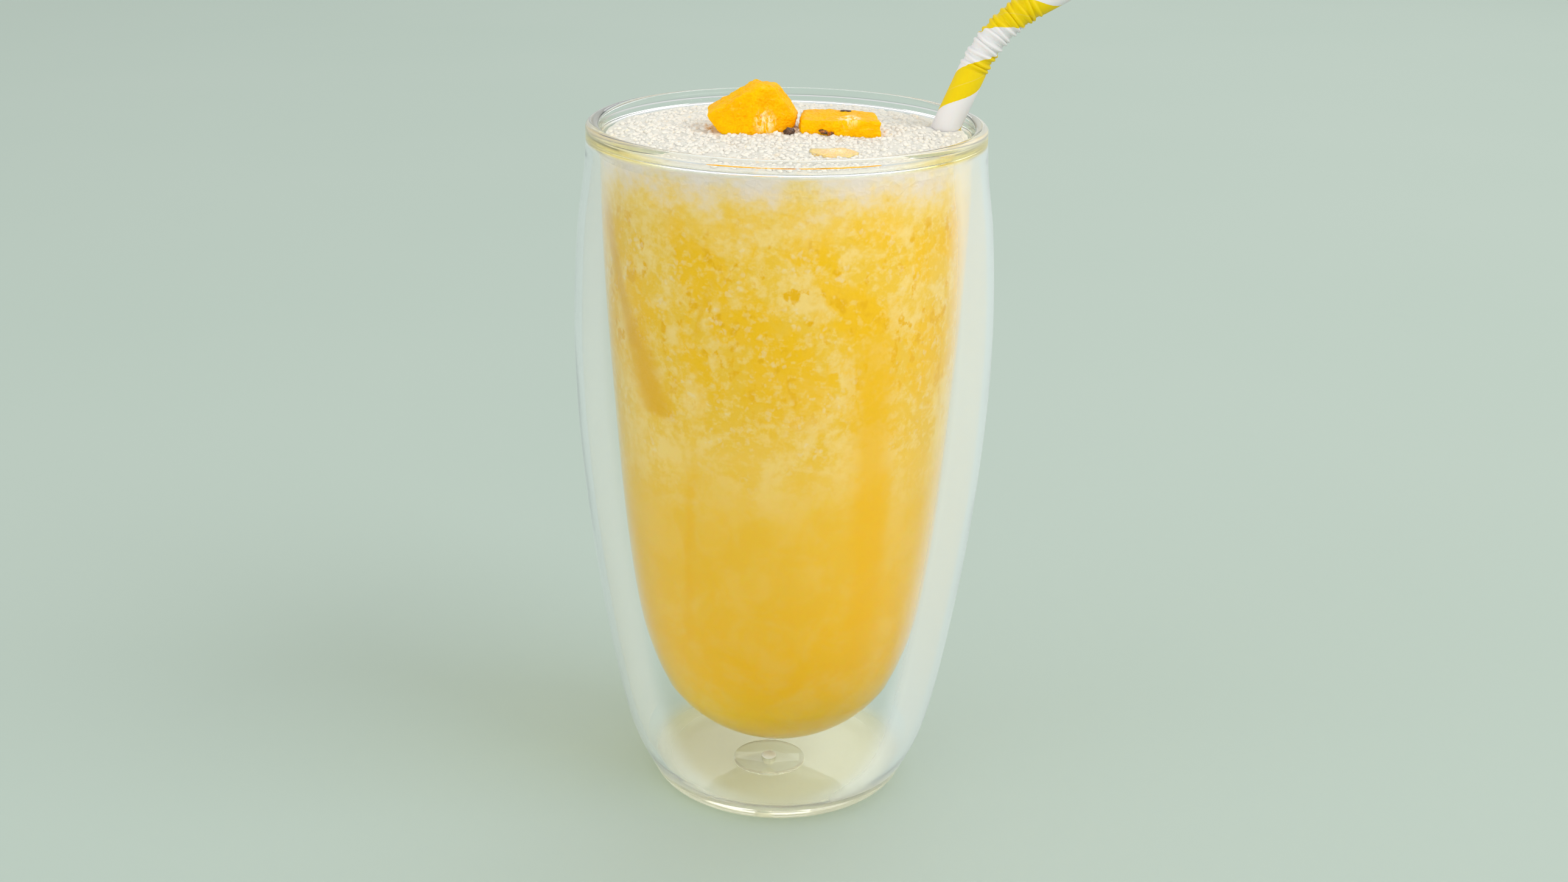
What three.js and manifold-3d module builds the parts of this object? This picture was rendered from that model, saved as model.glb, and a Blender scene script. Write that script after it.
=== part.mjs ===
// A mango and passion fruit cooler: iced fruit slush with a white ice foam on top, two pieces of
// mango and a striped paper straw, in the double-walled glass it is served in.
// Millimetres, +Z up. The origin is on the glass's axis, in the plane its base stands on.

import * as THREE from 'three';
import { mergeVertices } from 'three/addons/utils/BufferGeometryUtils.js';
import Module from 'manifold-3d';

const wasm = await Module();
wasm.setup();

// Glass, outside
const GLASS_HEIGHT = 150;
const BASE_FLAT_RADIUS = 23;
const HEEL_ROUND = 6.3;
const HEEL_SLOPE = 24.4;
const BELLY_RADIUS = 44.6;
const BELLY_HEIGHT = 106;
const NECK_RADIUS = 41.5;
// Radius and height where the wall passes between its heel, its belly and its neck
const LOWER_WALL = [[33.3, 14], [39.5, 45], [43.6, 80]];
const UPPER_WALL = [[43.55, 128], [42, 140]];
const OUTER_WALL = 1.5;
const BASE_THICKNESS = 3.6;
// The base's floor inside, and how its edge turns up into the wall
const BASE_FLOOR_RADIUS = 26.3;
const FLOOR_EDGE_IN = 1.5;
const FLOOR_EDGE_OUT = 0.8;
const FLOOR_EDGE_RISE = 1;
const FLOOR_FILLET = 4;

// Glass, inner bowl: its outer face, which looks into the space between the walls
const BOWL_BOTTOM = 10.8;
const BOWL_BALL_RADIUS = 30;
const BOWL_BALL_TOP = 25;
const BOWL_SIDE = [[28, 30.8], [30.8, 40], [33.7, 59], [36.3, 90], [38.2, 122]];
const BOWL_NECK_RADIUS = 38.65;
const BOWL_NECK_HEIGHT = 143.5;
const INNER_WALL = 1.3;
// The space narrows to a rounded crest under the rim
const SPACE_TOP = 147.2;
const SPACE_TOP_RADIUS = 39.45;
const SPACE_CREST_HALF_WIDTH = 0.75;
const SPACE_CREST_RISE = 2;

// Rim bead, where the two walls are fused
const BEAD_WIDTH = 2.9;
const BEAD_TALL = 2.4;
const BEAD_OUTER_RADIUS = 41.6;
const BEAD_FROM = -15;
const BEAD_TO = 205;

// Vent through the base, its boss and its plug
const VENT_X = -1.85;
const VENT_Y = -3.55;
const VENT_BORE_RADIUS = 1.3;
const BOSS_RADIUS = 8.1;
const BOSS_RISE = 0.4;
const PLUG_BOTTOM = 0.5;
const PLUG_STEM_RADIUS = 1;
const PLUG_HEAD_RADIUS = 1.65;
const PLUG_HEAD_RISE = 0.9;

// Drink and foam
const FOAM_BOTTOM = 141.5;
const FOAM_EDGE = 146.9;
const FOAM_CROWN = 147.7;
const FOAM_LUMP = 0.45;
const FOAM_LUMP_SIZE = 2.6;
const FOAM_SHOULDER = 0.4;
const FOAM_SHOULDER_DROP = 1;
const FOAM_TAPER = 0.1;
const FOAM_RINGS = 8;

// Straw: it stands at FOOT on the foam, leans by LEAN and bends on by BEND in its corrugated neck
const STRAW_RADIUS = 3;
const STRAW_WALL = 0.4;
const FOOT = [33.4, 7.4, 147.5];
const LEAN = THREE.MathUtils.degToRad(22.8);
const SUNK_LENGTH = 131.5;
const CLEAR_LENGTH = 13.3;
const NECK_LENGTH = 19.5;
const BEND = THREE.MathUtils.degToRad(38);
const TIP_LENGTH = 30;
const NECK_RIDGES = 13;
const RIDGE_RISE = 0.15;
const GROOVE_DEPTH = 0.3;
const NECK_LEAD = 0.3;
// Where in each ridge's pitch its groove and its crest lie
const GROOVE_SHARE = 0.25;
const CREST_SHARE = 0.75;

// Clearance between neighbours, and how far a cutter or an added boss runs into what it meets
const GAP = 0.3;
const OVERLAP = 1;

const LATHE_SIDES = 36;
const BOSS_SIDES = 24;
const VENT_SIDES = 12;
const PLUG_SIDES = 16;
const STRAW_SIDES = 12;
const STRAW_WAY_SIDES = 20;
const WALL_STEPS = 12;
const BOWL_STEPS = 10;
const HEEL_STEPS = 5;
const BALL_STEPS = 5;
const BEAD_STEPS = 7;
const CREST_STEPS = 3;
const PLUG_HEAD_STEPS = 4;

// Rounded pieces of fruit. Each facet has the way it faces and how far it lies from the centre, and
// a seed stuck to one has its place from that centre, its half sizes and a turn about Z.
const TALL_FRUIT = {
  centre: [-7.3, 1.2, 151.9],
  facets: [
    { faces: [-0.53, -0.1, 0.85], distance: 4.3 },
    { faces: [0.1, 0, 1], distance: 5.6 },
    { faces: [0.83, -0.1, 0.56], distance: 6.9 },
    { faces: [0.77, 0, -0.64], distance: 8.6 },
    { faces: [0, 0, -1], distance: 5.4 },
    { faces: [-0.78, 0, -0.62], distance: 7.9 },
    { faces: [-0.35, -0.9, 0.25], distance: 5.2 },
    { faces: [0.45, -0.85, 0.1], distance: 5.4 },
    { faces: [0, 0.95, 0.3], distance: 4.8 },
  ],
  seeds: [{ centre: [6.9, -3.4, -3.6], size: [1.3, 0.8, 0.75], turn: 0.3 }],
};
const FLAT_FRUIT = {
  centre: [10.8, 0.2, 149],
  facets: [
    { faces: [-1, 0, 0.1], distance: 7.9 },
    { faces: [1, 0.1, 0.1], distance: 7.9 },
    { faces: [0.62, 0.7, 0.35], distance: 7.2 },
    { faces: [0, -1, 0.12], distance: 5.2 },
    { faces: [0, 1, 0.1], distance: 5 },
    { faces: [0, -0.06, 1], distance: 2.2 },
    { faces: [0, 0, -1], distance: 2.5 },
  ],
  seeds: [{ centre: [-3.4, -5.1, -1.3], size: [1, 0.45, 0.5], turn: 0 }],
};
const FRUIT_EDGE = 11;
const FRUIT_ROUGHNESS = 0.16;
const FRUIT_LUMP_SIZE = 1.2;
const FRUIT_DETAIL = 4;
const POCKET_GAP = 0.5;

// A number between -1 and 1 that changes smoothly over a few millimetres
function lumps(x, y, z, size) {
  const a = Math.sin((2.1 * x + 0.7 * y) / size + 0.4) * Math.sin((1.7 * y - 1.1 * z) / size + 1.3);
  const b = Math.sin((1.3 * z + 1.9 * x) / size + 2.2) * Math.sin((2.3 * y + 0.9 * x) / size + 0.9);
  return (a + b) / 2;
}

// Shared vertices merged, and the flat triangles at a pole dropped
function closed(geometry) {
  geometry.deleteAttribute('normal');
  geometry.deleteAttribute('uv');
  const merged = mergeVertices(geometry, 1e-4);
  const kept = [];
  const index = merged.index.array;
  for (let i = 0; i < index.length; i += 3) {
    const [a, b, c] = index.slice(i, i + 3);
    if (a !== b && b !== c && c !== a) {
      kept.push(a, b, c);
    }
  }
  merged.setIndex(kept);
  return merged;
}

function toSolid(geometry) {
  const merged = closed(geometry);
  const mesh = new wasm.Mesh({
    numProp: 3,
    vertProperties: new Float32Array(merged.attributes.position.array),
    triVerts: new Uint32Array(merged.index.array),
  });
  return new wasm.Manifold(mesh);
}

function toGeometry(solid) {
  const mesh = solid.getMesh();
  const geometry = new THREE.BufferGeometry();
  geometry.setAttribute('position', new THREE.BufferAttribute(mesh.vertProperties, 3));
  geometry.setIndex(new THREE.BufferAttribute(mesh.triVerts, 1));
  geometry.computeVertexNormals();
  return geometry;
}

// Outlines are lists of points: radius across, height up
function station(radius, height) {
  return new THREE.Vector2(radius, height);
}

function stations(pairs) {
  return pairs.map(([radius, height]) => station(radius, height));
}

function curveThrough(points, count) {
  const knots = points.map((p) => new THREE.Vector3(p.x, p.y, 0));
  const curve = new THREE.CatmullRomCurve3(knots, false, 'centripetal');
  return curve.getPoints(count).map((p) => station(p.x, p.y));
}

function arc(centreX, centreY, acrossRadius, upRadius, fromDegrees, toDegrees, steps) {
  const points = [];
  for (let i = 0; i <= steps; i++) {
    const angle = THREE.MathUtils.degToRad(fromDegrees + ((toDegrees - fromDegrees) * i) / steps);
    points.push(station(centreX + acrossRadius * Math.cos(angle), centreY + upRadius * Math.sin(angle)));
  }
  return points;
}

// The same outline moved sideways, to the left of its direction
function moved(outline, distance) {
  return outline.map((point, i) => {
    const before = outline[Math.max(i - 1, 0)];
    const after = outline[Math.min(i + 1, outline.length - 1)];
    const along = after.clone().sub(before).normalize();
    return station(point.x - along.y * distance, point.y + along.x * distance);
  });
}

// From the flat of the base round to where the wall rises, HEEL_SLOPE degrees from upright
function heelOutline() {
  return arc(BASE_FLAT_RADIUS, HEEL_ROUND, HEEL_ROUND, HEEL_ROUND, -90, -HEEL_SLOPE, HEEL_STEPS);
}

// From the top of the heel up to the bead
function outerWall() {
  return curveThrough(
    [
      heelOutline().pop(),
      ...stations(LOWER_WALL),
      station(BELLY_RADIUS, BELLY_HEIGHT),
      ...stations(UPPER_WALL),
      station(NECK_RADIUS, GLASS_HEIGHT - BEAD_TALL),
    ],
    WALL_STEPS
  );
}

// From the axis at the bottom up to the neck, the face that looks into the space between the walls
function bowlOutside() {
  const centre = BOWL_BOTTOM + BOWL_BALL_RADIUS;
  const top = THREE.MathUtils.radToDeg(Math.asin((BOWL_BALL_TOP - centre) / BOWL_BALL_RADIUS));
  const ball = arc(0, centre, BOWL_BALL_RADIUS, BOWL_BALL_RADIUS, -90, top, BALL_STEPS);
  ball[0].x = 0;
  const side = curveThrough(
    [ball[ball.length - 1], ...stations(BOWL_SIDE), station(BOWL_NECK_RADIUS, BOWL_NECK_HEIGHT)],
    BOWL_STEPS
  );
  return [...ball, ...side.slice(1)];
}

// The bowl's inner face, or what keeps a further distance from it
function bowlInside(clearance) {
  const outline = moved(bowlOutside(), INNER_WALL + clearance);
  outline[0].x = 0;
  return outline;
}

// A LatheGeometry stands on its Y axis, so it is turned to stand on Z. Its outline goes from the
// axis at the bottom up the outside and back to the axis.
function lathe(outline, sides = LATHE_SIDES) {
  return new THREE.LatheGeometry(outline, sides).rotateX(Math.PI / 2);
}

// A round post between two heights, standing on Z
function post(x, y, bottomRadius, topRadius, bottom, top, sides) {
  const geometry = new THREE.CylinderGeometry(topRadius, bottomRadius, top - bottom, sides);
  return geometry.rotateX(Math.PI / 2).translate(x, y, (bottom + top) / 2);
}

function glassGeometry() {
  const beadX = BEAD_OUTER_RADIUS - BEAD_WIDTH / 2;
  const beadZ = GLASS_HEIGHT - BEAD_TALL / 2;
  const bead = arc(beadX, beadZ, BEAD_WIDTH / 2, BEAD_TALL / 2, BEAD_FROM, BEAD_TO, BEAD_STEPS);
  const body = toSolid(
    lathe([station(0, 0), ...heelOutline(), ...outerWall().slice(1, -1), ...bead, ...bowlInside(0).reverse()])
  );

  const wallInside = moved(outerWall(), OUTER_WALL).filter(
    (p) => p.y > BASE_THICKNESS + FLOOR_FILLET && p.y < BOWL_NECK_HEIGHT
  );
  const crestBase = SPACE_TOP - SPACE_CREST_RISE;
  const crest = arc(
    SPACE_TOP_RADIUS, crestBase, SPACE_CREST_HALF_WIDTH, SPACE_CREST_RISE, 10, 170, CREST_STEPS,
  );
  const space = toSolid(
    lathe([
      station(0, BASE_THICKNESS),
      station(BASE_FLOOR_RADIUS - FLOOR_EDGE_IN, BASE_THICKNESS),
      station(BASE_FLOOR_RADIUS + FLOOR_EDGE_OUT, BASE_THICKNESS + FLOOR_EDGE_RISE),
      ...wallInside,
      ...crest,
      ...bowlOutside().reverse(),
    ])
  );

  const bossTop = BASE_THICKNESS + BOSS_RISE;
  const bossBottom = BASE_THICKNESS - OVERLAP;
  const boss = post(VENT_X, VENT_Y, BOSS_RADIUS + BOSS_RISE, BOSS_RADIUS, bossBottom, bossTop, BOSS_SIDES);
  const vent = post(
    VENT_X, VENT_Y, VENT_BORE_RADIUS, VENT_BORE_RADIUS, -OVERLAP, bossTop + OVERLAP, VENT_SIDES,
  );
  return toGeometry(body.subtract(space).add(toSolid(boss)).subtract(toSolid(vent)));
}

// A stem that fills the vent and a round head on the boss
function plugGeometry() {
  const headBottom = BASE_THICKNESS + BOSS_RISE + GAP;
  const head = arc(0, headBottom, PLUG_HEAD_RADIUS, PLUG_HEAD_RISE, 0, 90, PLUG_HEAD_STEPS);
  head[head.length - 1].x = 0;
  const stem = [
    station(0, PLUG_BOTTOM),
    station(PLUG_STEM_RADIUS, PLUG_BOTTOM),
    station(PLUG_STEM_RADIUS, headBottom),
  ];
  return closed(lathe([...stem, ...head], PLUG_SIDES).translate(VENT_X, VENT_Y, 0));
}

function drinkSolid() {
  const top = FOAM_BOTTOM - GAP / 2;
  const side = bowlInside(GAP).filter((p) => p.y < top - OVERLAP);
  const last = side[side.length - 1];
  return toSolid(lathe([...side, station(last.x, top), station(0, top)]));
}

// A thick disc with a lumpy, slightly mounded top
function foamSolid() {
  const wall = BOWL_NECK_RADIUS - INNER_WALL - GAP;
  const bottom = FOAM_BOTTOM + GAP / 2;
  const shoulder = station(wall, FOAM_EDGE - FOAM_SHOULDER_DROP);
  const outline = [station(0, bottom), station(wall - FOAM_TAPER, bottom), shoulder];
  for (let ring = FOAM_RINGS; ring > 0; ring--) {
    const share = ring / FOAM_RINGS;
    outline.push(station((wall - FOAM_SHOULDER) * share, FOAM_CROWN + (FOAM_EDGE - FOAM_CROWN) * share ** 4));
  }
  outline.push(station(0, FOAM_CROWN));
  const geometry = lathe(outline);
  const place = geometry.attributes.position;
  for (let i = 0; i < place.count; i++) {
    const [x, y, z] = [place.getX(i), place.getY(i), place.getZ(i)];
    if (z > shoulder.y) {
      place.setZ(i, z + FOAM_LUMP * lumps(x, y, 0, FOAM_LUMP_SIZE));
    }
  }
  return toSolid(geometry);
}

// A rounded block of fruit, its facets moved out by grow
function fruitGeometry(facets, grow) {
  const planes = facets.map(({ faces, distance }) => ({
    normal: new THREE.Vector3(...faces).normalize(),
    distance: distance + grow,
  }));
  const geometry = new THREE.IcosahedronGeometry(1, FRUIT_DETAIL);
  const place = geometry.attributes.position;
  const way = new THREE.Vector3();
  for (let i = 0; i < place.count; i++) {
    way.fromBufferAttribute(place, i).normalize();
    let sum = 0;
    for (const plane of planes) {
      sum += Math.max(0, plane.normal.dot(way) / plane.distance) ** FRUIT_EDGE;
    }
    const reach = sum ** (-1 / FRUIT_EDGE);
    const rough = FRUIT_ROUGHNESS * lumps(way.x * reach, way.y * reach, way.z * reach, FRUIT_LUMP_SIZE);
    way.multiplyScalar(reach + rough);
    place.setXYZ(i, way.x, way.y, way.z);
  }
  return geometry;
}

// A squashed ball, for a seed
function seedSolid({ centre, size, turn }, grow) {
  const geometry = new THREE.IcosahedronGeometry(1, 1);
  const grown = size.map((half) => half + grow);
  return toSolid(geometry.scale(...grown).rotateZ(turn).translate(...centre));
}

// A piece of fruit with the seeds that stick to it, about its own centre
function fruitSolid({ facets, seeds }, grow) {
  const fruit = toSolid(fruitGeometry(facets, grow));
  return seeds.reduce((whole, seed) => whole.add(seedSolid(seed, grow)), fruit);
}

// What a piece of fruit takes out of the foam that it lies in
function fruitPocket(fruit) {
  return fruitSolid(fruit, POCKET_GAP).translate(fruit.centre);
}

// The straw's middle line in its own frame: straight along Z, round the neck towards +X, then on
function strawPlace(distance) {
  const turned = THREE.MathUtils.clamp((distance - CLEAR_LENGTH) / NECK_LENGTH, 0, 1) * BEND;
  const bendRadius = NECK_LENGTH / BEND;
  const past = Math.max(distance - CLEAR_LENGTH - NECK_LENGTH, 0);
  const across = bendRadius * (1 - Math.cos(turned)) + past * Math.sin(turned);
  const up = Math.min(distance, CLEAR_LENGTH) + bendRadius * Math.sin(turned) + past * Math.cos(turned);
  return { across, up, turned };
}

function strawRings() {
  const rings = [
    { distance: -SUNK_LENGTH, radius: STRAW_RADIUS },
    { distance: CLEAR_LENGTH - NECK_LEAD, radius: STRAW_RADIUS },
  ];
  const pitch = NECK_LENGTH / NECK_RIDGES;
  for (let ridge = 0; ridge < NECK_RIDGES; ridge++) {
    const start = CLEAR_LENGTH + ridge * pitch;
    rings.push({ distance: start + GROOVE_SHARE * pitch, radius: STRAW_RADIUS - GROOVE_DEPTH });
    rings.push({ distance: start + CREST_SHARE * pitch, radius: STRAW_RADIUS + RIDGE_RISE });
  }
  rings.push({ distance: CLEAR_LENGTH + NECK_LENGTH + NECK_LEAD, radius: STRAW_RADIUS });
  rings.push({ distance: CLEAR_LENGTH + NECK_LENGTH + TIP_LENGTH, radius: STRAW_RADIUS });
  return rings;
}

// A thin open tube: its rings go up the outside and come back down the bore
function strawGeometry() {
  const outside = strawRings();
  const bore = outside.map(({ distance, radius }) => ({ distance, radius: radius - STRAW_WALL })).reverse();
  const rings = [...outside, ...bore];
  const positions = [];
  for (const { distance, radius } of rings) {
    const { across, up, turned } = strawPlace(distance);
    for (let side = 0; side < STRAW_SIDES; side++) {
      const angle = (2 * Math.PI * side) / STRAW_SIDES;
      const sideways = radius * Math.cos(angle);
      positions.push(
        across + sideways * Math.cos(turned),
        radius * Math.sin(angle),
        up - sideways * Math.sin(turned)
      );
    }
  }
  const index = [];
  for (let ring = 0; ring < rings.length; ring++) {
    const next = (ring + 1) % rings.length;
    for (let side = 0; side < STRAW_SIDES; side++) {
      const beside = (side + 1) % STRAW_SIDES;
      const [a, b] = [ring * STRAW_SIDES + side, ring * STRAW_SIDES + beside];
      const [c, d] = [next * STRAW_SIDES + side, next * STRAW_SIDES + beside];
      index.push(a, b, d, a, d, c);
    }
  }
  const geometry = new THREE.BufferGeometry();
  geometry.setAttribute('position', new THREE.Float32BufferAttribute(positions, 3));
  geometry.setIndex(index);
  geometry.computeVertexNormals();
  return geometry;
}

// What the straw's straight length takes out of the drink and the foam
function strawWay() {
  const radius = STRAW_RADIUS + GAP;
  const bottom = -SUNK_LENGTH - GAP;
  const geometry = post(0, 0, radius, radius, bottom, CLEAR_LENGTH, STRAW_WAY_SIDES);
  return toSolid(geometry.rotateY(LEAN).translate(...FOOT));
}

function piece(name, geometry, look, place = [0, 0, 0]) {
  const mesh = new THREE.Mesh(geometry, new THREE.MeshStandardMaterial(look));
  mesh.name = name;
  mesh.position.set(...place);
  return mesh;
}

const CLEAR_GLASS = { color: 0xe6f0ec, roughness: 0.03, metalness: 0, transparent: true, opacity: 0.35 };
const SILICONE = { color: 0xe8e2cf, roughness: 0.5, metalness: 0 };
const SLUSH = { color: 0xe6bd4a, roughness: 0.35, metalness: 0 };
const ICE = { color: 0xf4eee4, roughness: 0.7, metalness: 0 };
const MANGO = { color: 0xffb300, roughness: 0.35, metalness: 0 };
const PAPER = { color: 0xf0e9dc, roughness: 0.6, metalness: 0 };

const glass = new THREE.Group();
glass.add(piece('double_wall_glass', glassGeometry(), CLEAR_GLASS));
glass.add(piece('vent_plug', plugGeometry(), SILICONE));

const way = strawWay();
const foam = foamSolid()
  .subtract(way)
  .subtract(fruitPocket(TALL_FRUIT))
  .subtract(fruitPocket(FLAT_FRUIT));
const drink = new THREE.Group();
drink.add(piece('slush_drink', toGeometry(drinkSolid().subtract(way)), SLUSH));
drink.add(piece('ice_foam', toGeometry(foam), ICE));

const garnish = new THREE.Group();
for (const [name, fruit] of [['mango_chunk_tall', TALL_FRUIT], ['mango_chunk_flat', FLAT_FRUIT]]) {
  garnish.add(piece(name, toGeometry(fruitSolid(fruit, 0)), MANGO, fruit.centre));
}
const straw = piece('straw', strawGeometry(), PAPER, FOOT);
straw.rotation.y = LEAN;
garnish.add(straw);

const cooler = new THREE.Group();
cooler.add(glass, drink, garnish);
export default cooler;
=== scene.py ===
"""A mango and passion fruit cooler in its double-walled glass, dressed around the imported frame.

Sizes in the property groups are millimetres, as in the part's source; meshes are in metres.
"""

import math
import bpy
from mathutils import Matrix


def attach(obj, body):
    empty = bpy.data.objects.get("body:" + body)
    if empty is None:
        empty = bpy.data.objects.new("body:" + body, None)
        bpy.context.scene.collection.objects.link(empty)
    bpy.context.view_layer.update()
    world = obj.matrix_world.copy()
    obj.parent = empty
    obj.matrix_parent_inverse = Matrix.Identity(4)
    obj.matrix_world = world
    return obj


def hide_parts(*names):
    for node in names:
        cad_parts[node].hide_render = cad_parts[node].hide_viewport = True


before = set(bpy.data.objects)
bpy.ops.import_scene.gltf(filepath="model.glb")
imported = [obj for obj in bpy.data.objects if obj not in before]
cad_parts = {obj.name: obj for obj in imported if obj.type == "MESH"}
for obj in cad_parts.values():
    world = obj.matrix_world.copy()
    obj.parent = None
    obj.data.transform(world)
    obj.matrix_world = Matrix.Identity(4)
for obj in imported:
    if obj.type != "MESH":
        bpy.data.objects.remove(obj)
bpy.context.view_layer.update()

from types import SimpleNamespace

import bmesh
import bpy
from bpy.props import FloatProperty, FloatVectorProperty, IntProperty, PointerProperty
from mathutils import Matrix, Vector, noise

bl_info = {
    "name": "Mango passion fruit cooler",
    "version": (1, 0, 0),
    "blender": (4, 5, 0),
    "location": "View3D > Sidebar > Cooler",
    "description": "An iced fruit drink with foam, mango and a paper straw in a double-walled glass",
    "category": "Add Mesh",
}

MM = 0.001


def size(name, default, text):
    """A length, given here in millimetres."""
    return FloatProperty(name=name, default=default * MM, unit="LENGTH", precision=4, description=text)


def angle(name, default, text):
    """An angle, given here in degrees."""
    return FloatProperty(name=name, default=math.radians(default), subtype="ANGLE", description=text)


def place(name, default, text):
    """A place, given here in millimetres."""
    metres = tuple(value * MM for value in default)
    return FloatVectorProperty(name=name, default=metres, size=3, subtype="TRANSLATION", precision=4, description=text)


def count(name, default, text):
    return IntProperty(name=name, default=default, min=3, description=text)


def colour(name, default, text):
    return FloatVectorProperty(name=name, default=default, size=3, subtype="COLOR", description=text)


class GlassSettings(bpy.types.PropertyGroup):
    height: size("Height", 150.0, "Overall height")
    base_flat: size("Base flat", 23.0, "Radius of the flat that the glass stands on")
    heel_round: size("Heel round", 6.3, "Radius of the rounded heel")
    heel_slope: angle("Heel slope", 24.4, "Angle from upright where the wall leaves the heel")
    outer_wall: size("Outer wall", 1.5, "Thickness of the outer wall")
    inner_wall: size("Inner wall", 1.3, "Thickness of the inner bowl")
    base_thickness: size("Base thickness", 3.6, "Thickness of the floor")
    floor_radius: size("Floor radius", 26.3, "Radius of the flat floor between the walls")
    bowl_bottom: size("Bowl bottom", 10.8, "Height of the bowl's underside")
    ball_radius: size("Ball radius", 30.0, "Radius of the bowl's round bottom")
    ball_top: size("Ball top", 25.0, "Height where the round bottom ends")
    bead_width: size("Bead width", 2.9, "Width of the fused rim")
    bead_tall: size("Bead height", 2.4, "Height of the fused rim")
    bead_radius: size("Bead radius", 41.6, "Outer radius of the fused rim")
    vent_x: size("Vent X", -1.85, "Place of the vent across")
    vent_y: size("Vent Y", -3.55, "Place of the vent in depth")
    vent_bore: size("Vent bore", 1.3, "Radius of the vent through the floor")
    boss_radius: size("Boss radius", 8.1, "Radius of the raised disc round the vent")
    boss_rise: size("Boss rise", 0.4, "How far that disc stands up")
    tint: colour("Glass tint", (0.988, 0.995, 0.992), "Colour that light takes through the glass")
    sides: count("Sides", 160, "Faces round the glass")


class DrinkSettings(bpy.types.PropertyGroup):
    foam_bottom: size("Foam bottom", 141.5, "Height where the foam piece begins")
    foam_edge: size("Foam edge", 146.9, "Height of the foam at the glass")
    foam_crown: size("Foam crown", 147.7, "Height of the foam in the middle")
    reach: size("Reach", 0.15, "How far the drink reaches into the glass wall")
    slush_floor: size("Slush floor", 88.0, "Height where the floating ice gives way to juice")
    fine_grains: count("Fine grains", 2350, "Small ice grains on the foam")
    coarse_grains: count("Coarse grains", 1500, "Larger ice grains on the foam")
    gold: colour("Gold", (0.90, 0.56, 0.0), "Clear juice, at its deepest")
    straw_yellow: colour("Straw yellow", (0.87, 0.585, 0.05), "Juice clouded by fine pulp")
    pocket: colour("Pocket", (0.84, 0.49, 0.0), "Juice in the small gaps between the ice")
    # Painted glow: brighter juice in the round bottom, standing for light that gathers there
    painted_glow: colour("Glow", (1.0, 0.61, 0.0), "Juice in the round bottom, where light gathers")
    cream: colour("Cream", (0.90, 0.69, 0.24), "Juice crowded with ice")
    bed: colour("Bed", (0.75, 0.71, 0.625), "Packed ice under the loose grains")
    froth: colour("Froth", (0.83, 0.73, 0.66), "Ice foam seen through the glass")
    ice: colour("Ice", (0.83, 0.785, 0.71), "Ice foam")


class GarnishSettings(bpy.types.PropertyGroup):
    straw_radius: size("Straw radius", 3.0, "Outer radius of the straw")
    straw_wall: size("Straw wall", 0.4, "Thickness of the paper")
    foot: place("Straw foot", (33.4, 7.4, 147.5), "Where the straw meets the foam")
    lean: angle("Lean", 22.8, "How far the straw leans from upright")
    sunk: size("Sunk length", 131.5, "Straw below the foam")
    clear: size("Clear length", 13.3, "Straw from the foam to its neck")
    neck: size("Neck length", 19.5, "Length of the crimped neck")
    bend: angle("Bend", 38.0, "How far the neck bends")
    tip: size("Tip length", 30.0, "Straw beyond the neck")
    ridges: count("Ridges", 13, "Crimps in the neck")
    band: size("Band", 8.7, "Width of one coloured band along the straw")
    band_start: size("Band start", 7.1, "Where the first yellow band starts above the foam")
    paper: colour("Paper", (0.70, 0.68, 0.68), "White of the paper")
    stripe: colour("Stripe", (0.74, 0.54, 0.0), "Yellow of the stripe")
    mango: colour("Mango", (1.0, 0.44, 0.0), "Cut mango")
    pulp: colour("Pulp", (1.0, 0.68, 0.13), "Pale fibres in the mango")
    seed: colour("Seed", (0.045, 0.022, 0.014), "Passion fruit seed")


def settings(group):
    """A group's values by name, its lengths in millimetres and its angles in degrees."""
    values = {}
    for name in group.__annotations__:
        value = getattr(group, name)
        unit = group.bl_rna.properties[name].unit
        if unit == "LENGTH":
            value = Vector(value) / MM if hasattr(value, "__len__") else value / MM
        elif unit == "ROTATION":
            value = math.degrees(value)
        values[name] = value
    return SimpleNamespace(**values)


# Node trees


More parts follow.
